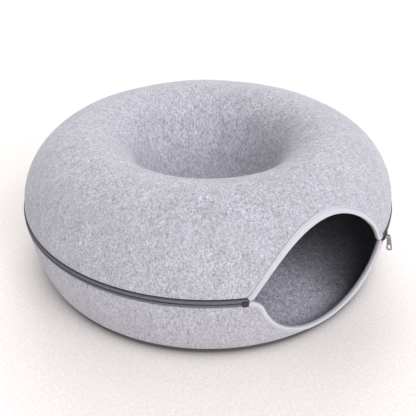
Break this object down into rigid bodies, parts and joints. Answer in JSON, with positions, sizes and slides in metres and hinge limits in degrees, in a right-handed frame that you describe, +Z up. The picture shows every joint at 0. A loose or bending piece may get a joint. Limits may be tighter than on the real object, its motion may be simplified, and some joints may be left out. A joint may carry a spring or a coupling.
{
  "type": "pet bed",
  "caption": "Round hollow-ring felt pet bed: a nest on top, a tunnel inside with a lens-shaped bound entrance, and a zip round the middle that lets the top half lift off.",
  "frame": {"origin": "on the ground at the axis of the ring", "axes": "+Z up along the ring's axis; the entrance faces -Y"},
  "size_m": [0.5027, 0.4925, 0.18],
  "materials": {
    "felt": "pressed heather felt",
    "binding": "smooth folded tape",
    "zip_tape": "woven",
    "zip_coil": "matte nylon coil",
    "slider_metal": "black lacquered die casting",
    "pull_metal": "satin plated",
    "zip_fittings": "matte"
  },
  "bodies": {
    "bottom_half": {"lower_shell": "felt", "lower_binding": "binding", "lower_zip_tape": "zip_tape", "lower_zip_coil": "zip_coil", "zip_retainer_box": "zip_fittings", "lower_end_stop": "zip_fittings"},
    "top_half": {"upper_shell": "felt", "upper_binding": "binding", "upper_zip_tape": "zip_tape", "upper_zip_coil": "zip_coil", "zip_insertion_pin": "zip_fittings", "upper_end_stop": "zip_fittings"},
    "slider": {"zip_slider": "slider_metal"},
    "pull": {"zip_pull": "pull_metal"}
  },
  "joints": [
    {"name": "top_lift", "type": "slide", "parent": "bottom_half", "child": "top_half", "axis": [0, 0, 1], "range_m": [0, 0.15]},
    {"name": "zip_travel", "type": "hinge", "parent": "bottom_half", "child": "slider", "pos_m": [0, 0, 0.09], "axis": [0, 0, 1], "range_deg": [0, 306]},
    {"name": "pull_flip", "type": "hinge", "parent": "slider", "child": "pull", "pos_m": [0.11186, -0.23088, 0.09], "axis": [-0.8999, -0.436, 0], "range_deg": [-8, 160]}
  ]
}
